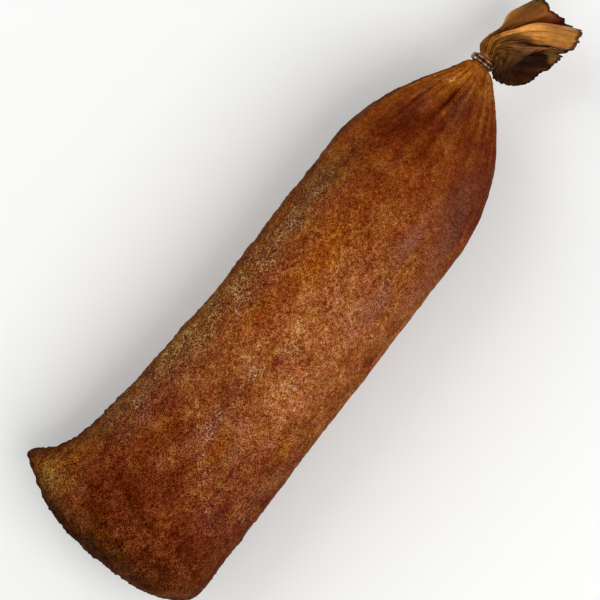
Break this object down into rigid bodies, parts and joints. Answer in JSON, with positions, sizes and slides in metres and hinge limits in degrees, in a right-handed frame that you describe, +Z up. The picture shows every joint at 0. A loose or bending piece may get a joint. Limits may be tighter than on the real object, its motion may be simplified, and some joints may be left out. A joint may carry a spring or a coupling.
{
  "type": "cured sausage",
  "caption": "Large smoked and cured sausage in a natural casing, blind and blunt at one end, gathered and closed with a wire clip at the other, where the empty casing fans out.",
  "frame": {"origin": "on the surface that the sausage lies on, under the middle of its box", "axes": "+X towards the clipped end and its tail, +Y towards the side with the ear, +Z up, out of the side that faces up as it lies"},
  "size_m": [0.3514, 0.11, 0.0836],
  "materials": {
    "smoked_casing": "smoked natural casing, matt with a faint sheen, mottled red-brown",
    "clip_wire": "soft wire, dulled and browned by the smoke"
  },
  "bodies": {
    "root": {"sausage": "smoked_casing", "clip": "clip_wire"}
  },
  "joints": []
}
